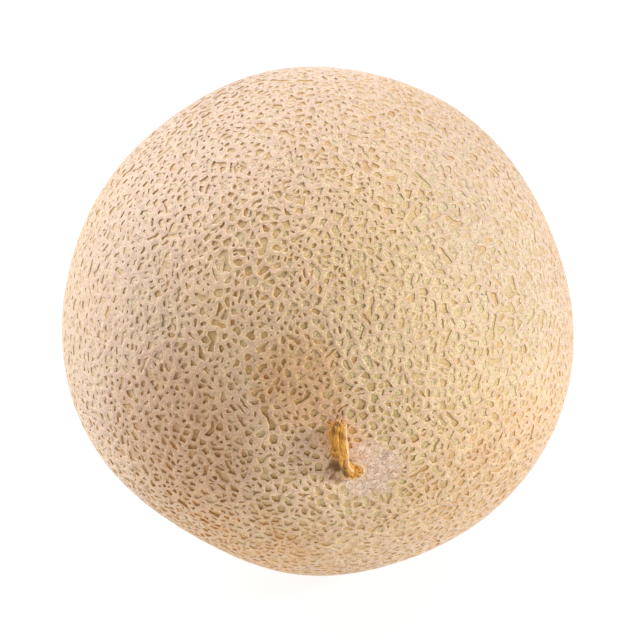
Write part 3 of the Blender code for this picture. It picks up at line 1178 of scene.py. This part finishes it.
# %% The cup at the foot
CUP_RADIUS = 2.9 * MM
CUP_SQUASH = 0.8  # how high the cup is up the skin, for its width
CUP_MIDDLE = (1.1 * MM, -0.6 * MM)
CUP_AROUND = 96
CUP_RINGS = 40
CUP_FLOOR = 0.60 * MM
CUP_UNDERSIDE = -0.6 * MM
RIM_HIGHEST_AT = math.radians(215)
CUP_PROFILE = (  # (share of the radius, height, how far the rim counts, how deep inside)
    (1.30, -0.5 * MM, 0.0, 0.0),
    (1.24, 0.05 * MM, 0.0, 0.0),
    (1.12, 0.3 * MM, 0.15, 0.0),
    (1.03, 0.6 * MM, 0.4, 0.0),
    (0.99, 0.8 * MM, 0.75, 0.0),
    (0.95, 0.86 * MM, 0.9, 0.0),
    (0.89, 0.88 * MM, 0.9, 0.3),
    (0.82, 0.82 * MM, 0.7, 0.7),
    (0.70, 0.75 * MM, 0.4, 1.0),
    (0.56, 0.7 * MM, 0.2, 1.0),
    (0.38, 0.65 * MM, 0.1, 1.0),
    (0.20, 0.6 * MM, 0.0, 1.0),
)


def make_cup():
    """A shallow ragged cup: a profile turned round, with a rim that rises and falls."""
    random = np.random.default_rng(SEED + 2)
    profile = smooth_route(CUP_PROFILE, CUP_RINGS)
    around = np.linspace(0, 2 * math.pi, CUP_AROUND, endpoint=False)[None]
    level = np.arange(CUP_RINGS)[:, None]
    share, height, rim, deep = (profile[:, k : k + 1] for k in range(4))
    tall = 0.55 * np.cos(angle_from(around, RIM_HIGHEST_AT))
    tall = tall + 0.22 * waves(random, around, 0 * around, 9, 0, 12)
    folds = waves(random, around, level * 0.05, 12, 2, 14)
    uneven = 0.025 * folds + 0.06 * waves(random, around, 0 * level, 3, 0, 4)
    radius = CUP_RADIUS * share * (1 + uneven)
    frayed = 0.10 * MM * waves(random, around, level * 0.3, 10, 2, 12)
    rise = height + rim * tall * MM + frayed * np.minimum(rim + 0.3, 1)
    side, up = CUP_MIDDLE
    across_skin, up_skin = radius * np.cos(around), CUP_SQUASH * radius * np.sin(around)
    points = over_skin(side + across_skin, rise, up + up_skin).reshape(-1, 3)
    closing = np.array([CUP_UNDERSIDE, CUP_FLOOR])
    closing = over_skin(np.full(2, side), closing, np.full(2, up))
    count = len(points)
    faces = tube_faces(CUP_RINGS, CUP_AROUND, 0, count, count + 1)
    piece = mesh_object("stem_foot", np.vstack([points, closing]), faces)
    fields = {
        "fibre_x": np.cos(around) * share * STRAND_SPREAD,
        "fibre_y": np.sin(around) * share * STRAND_SPREAD,
        "fibre_z": level * 0.02 + 0 * around,
        # painted shade in the cup's folds
        "groove": np.clip(0.30 - 0.30 * folds, 0, 1.2),
        "rib": (1 - deep) * np.ones_like(around),
        "shade": np.zeros(count),
        "hollow": np.zeros(count),
    }
    for name, field in fields.items():
        store(piece, name, np.append(field.ravel(), (0.0, 0.0)))
    return piece


cup_piece = make_cup()
print("foot triangles:", triangles(cup_piece))

# %% [markdown]
# ### Frayed fibres
#
# Where the stem tore, single fibres stand off it. Each is a thin tapered tube along a
# curled line. Hair would do for a render, but it isn't a mesh that can be passed on.

# %% Frayed fibres
FRAYED_AT_END = 32
FRAYED_AT_SIDE = 14
RINGS_BACK_FROM_END = 5  # the end's fibres start on the stub's last rings, all round it
SIDE_RINGS = (45, 112)  # the side's fibres start on these rings and columns of the stub
SIDE_COLUMNS = (35, 65)
LENGTH_AT_END = (1.0, 2.4)  # both in mm
LENGTH_AT_SIDE = (1.2, 2.6)
FIBRE_SIDES = 6
FIBRE_RINGS = 9
FIBRE_THICKNESS = (0.10 * MM, 0.20 * MM)


def frayed_fibre(random, at_end):
    """One strand's points: rings along a curled line, then the two closing points.

    The line is start + length * (tangent * t + lean * 0.6 t^1.6 + curl * 0.5 t^2), and its
    thickness falls by 0.8 t^1.5.
    """
    ring = random.integers(*((0, RINGS_BACK_FROM_END) if at_end else SIDE_RINGS))
    ring = STUB_RINGS - 1 - ring if at_end else ring
    column = random.integers(*((0, STUB_AROUND) if at_end else SIDE_COLUMNS))
    outwards, tangent = side_way[ring, column], tangents[ring]
    start = stub[ring, column] - outwards * 0.25 * MM - tangent * 0.6 * MM
    lean = outwards * random.uniform(-0.1, 0.7) + random.normal(0, 0.25, 3)
    length = random.uniform(*(LENGTH_AT_END if at_end else LENGTH_AT_SIDE)) * MM
    curl = random.normal(0, 0.35, 3)
    steps = np.linspace(0, 1, FIBRE_RINGS)[:, None]
    line = start + length * (tangent * steps + lean * steps**1.6 * 0.6 + curl * steps**2 * 0.5)
    _, one, other = carried_frames(line)
    thick = random.uniform(*FIBRE_THICKNESS) * (1 - 0.8 * steps**1.5)
    turn = np.linspace(0, 2 * math.pi, FIBRE_SIDES, endpoint=False)[:, None]
    circle = one[:, None] * np.cos(turn) + other[:, None] * np.sin(turn)
    body = line[:, None] + circle * thick[..., None]
    return np.vstack([body.reshape(-1, 3), line[:1], line[-1:] + tangent * 0.05 * MM])


def make_fibres():
    """Thin tapered strands that stand off the ragged end, and a few along the left side."""
    random = np.random.default_rng(SEED + 3)
    places = [True] * FRAYED_AT_END + [False] * FRAYED_AT_SIDE
    strands = [frayed_fibre(random, at_end) for at_end in places]
    faces = []
    for first in range(0, len(strands) * len(strands[0]), len(strands[0])):
        last = first + FIBRE_RINGS * FIBRE_SIDES
        faces += tube_faces(FIBRE_RINGS, FIBRE_SIDES, first, last, last + 1)
    return mesh_object("stem_fibres", np.vstack(strands), faces)


fibre_piece = make_fibres()
print("fibre triangles:", triangles(fibre_piece))

# %% [markdown]
# ### Dry wood
#
# The stub is orange-brown wood, with straw patches and a cream rib where the outer bark is left.
# Painted shade darkens its grooves, its hollow end and the lower part of its left side. Wood grain
# runs with the fibres, so the strands' noise doesn't read the place on the fruit, but coordinates
# stored on the mesh that wind along the stub. The single fibres are paler: dry straw.

# %% The stem's materials
DARK_STRAND = (0.60, 0.230, 0.028)
BRIGHT_STRAND = (1.0, 0.51, 0.095)
STRAW_PATCH = (0.95, 0.58, 0.22)
PAINTED_GROOVE_SHADE = (0.36, 0.130, 0.012)
DEEP_SHADE = (0.10, 0.035, 0.010)
RIB_CREAM = (0.95, 0.69, 0.40)
PAINTED_HOLLOW_SHADE = (0.20, 0.075, 0.015)
DARK_STRAW = (0.70, 0.33, 0.075)
PALE_STRAW = (0.95, 0.62, 0.27)


def dry_wood_material():
    """Orange-brown fibres with painted shade in the grooves, in the hollow end and on the lower
    left side, a pale rib, and noise along the fibres.
    """
    m = Material("dry_stem", 0.5, Specular_IOR_Level=0.25)
    axes = [m.attribute(name) for name in ("fibre_x", "fibre_y", "fibre_z")]
    strand = m.noise(0.28, 4.0, m.node("ShaderNodeCombineXYZ", {}, axes), roughness=0.65)
    patch = m.noise(1.1 * MM, 3.0)
    groove, rib = m.attribute("groove"), m.attribute("rib")
    colour = m.mix(strand.step(0.38, 0.60), DARK_STRAND, BRIGHT_STRAND)
    colour = m.mix(patch.step(0.50, 0.68) * 0.35, colour, STRAW_PATCH)
    # Painted shade in the grooves.
    colour = m.mix(groove.step(0.40, 1.05) * 0.75, colour, PAINTED_GROOVE_SHADE)
    # Painted shade on the lower left side.
    colour = m.mix(m.attribute("shade") * 0.9, colour, DEEP_SHADE)
    colour = m.mix(rib * patch.step(0.25, 0.5) * 0.9, colour, RIB_CREAM)
    # Painted shade in the hollow end.
    colour = m.mix(m.attribute("hollow"), colour, PAINTED_HOLLOW_SHADE)
    m.set("Base Color", colour)
    m.set("Roughness", strand.step(0.3, 0.7, 0.62, 0.42))
    m.bumps((strand, 0.30 * MM), (m.noise(0.30 * MM, 3.0), 0.08 * MM))
    return m.data


def fibre_material():
    """Pale straw strands."""
    m = Material("dry_fibres", 0.5)
    patch = m.noise(0.8 * MM, 3.0).step(0.35, 0.65)
    m.set("Base Color", m.mix(patch, DARK_STRAW, PALE_STRAW))
    return m.data


wood, straw = dry_wood_material(), fibre_material()
for piece, material in ((stub_piece, wood), (cup_piece, wood), (fibre_piece, straw)):
    piece.data.materials.append(material)
    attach(piece, "root")
    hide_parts("stem")
print("wood's nodes:", len(wood.node_tree.nodes))

# %% [markdown]
# ## Table and light
#
# The fruit lies in a white studio. Most of the light that fills its shaded side comes off
# the table, so the table glows a little. Two small lamps high on the right are sharp
# enough to give each pit a dark edge, and a large one behind on the left lights that flank
# softly. A single large lamp would light the form, but it would wash the net out.

# %% Table, lamps and world
TABLE_HALF = 3.0
TABLE_GREY = (0.15, 0.15, 0.15)
TABLE_GLOW = 0.88
LAMPS = (  # (name, azimuth, elevation, distance, size, watts)
    ("right", 60, 30, 1.2, 0.15, 8.4),
    ("top_right", 100, 50, 1.2, 0.15, 5.2),
    ("left_behind", 240, 30, 1.2, 0.8, 16.5),
)
WORLD_STRENGTH = 0.2
WHITE = (1.0, 1.0, 1.0, 1.0)


def add_table():
    """A pale table that reaches far past the view."""
    square = np.array([[-1, -1, 0], [1, -1, 0], [1, 1, 0], [-1, 1, 0]]) * TABLE_HALF
    floor = mesh_object("table", square, [[0, 1, 2, 3]], smooth=False)
    m = Material("table", 0.9, Emission_Strength=TABLE_GLOW)
    m.set("Base Color", TABLE_GREY)
    m.set("Emission Color", WHITE)
    floor.data.materials.append(m.data)


def add_lamp(name, azimuth, elevation, distance, size, power):
    """A square soft lamp that faces the fruit."""
    data = bpy.data.lights.new(name, "AREA")
    data.size = size
    data.energy = power
    lamp = bpy.data.objects.new(name, data)
    bpy.context.scene.collection.objects.link(lamp)
    out = way_out(math.radians(azimuth), math.radians(elevation))
    lamp.location = Vector(CENTRE) + out * distance
    lamp.rotation_euler = (-out).to_track_quat("-Z", "Y").to_euler()


def add_world():
    """A faint white light from all round."""
    world = bpy.data.worlds.new("white_room")
    bpy.context.scene.world = world
    world.use_nodes = True
    background = world.node_tree.nodes["Background"]
    background.inputs["Color"].default_value = WHITE
    background.inputs["Strength"].default_value = WORLD_STRENGTH


add_table()
for lamp in LAMPS:
    add_lamp(*lamp)
add_world()
bpy.context.scene.view_settings.view_transform = "Standard"
print("lamps:", [lamp[0] for lamp in LAMPS])

# %% [markdown]
# ## Finish
#
